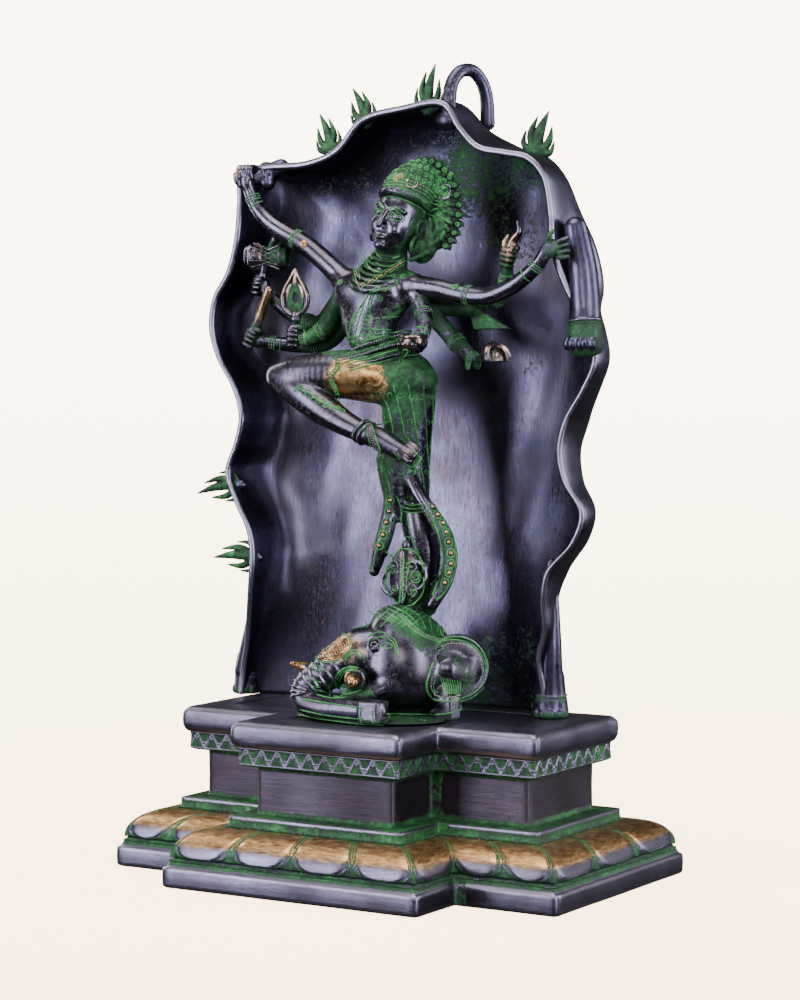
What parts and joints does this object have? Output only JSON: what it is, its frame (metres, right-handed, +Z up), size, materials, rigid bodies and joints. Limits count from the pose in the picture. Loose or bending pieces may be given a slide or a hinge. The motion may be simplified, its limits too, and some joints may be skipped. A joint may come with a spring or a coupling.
{
  "type": "cast brass table statue",
  "caption": "Cast brass table statue of a dancing many-armed deity on an elephant's head, framed by a wavy-edged hide niche on a stepped lotus pedestal.",
  "frame": {"origin": "middle of the pedestal's underside, on the surface the statue stands on", "axes": "+Z up, +Y toward the back of the hide, so the statue's front faces -Y"},
  "size_m": [0.2454, 0.1626, 0.3885],
  "materials": {
    "pedestal_brass": "satin",
    "hide_brass": "satin",
    "figure_brass": "satin"
  },
  "bodies": {
    "root": {"pedestal": "pedestal_brass", "elephant_hide": "hide_brass", "deity_on_elephant_head": "figure_brass"}
  },
  "joints": []
}
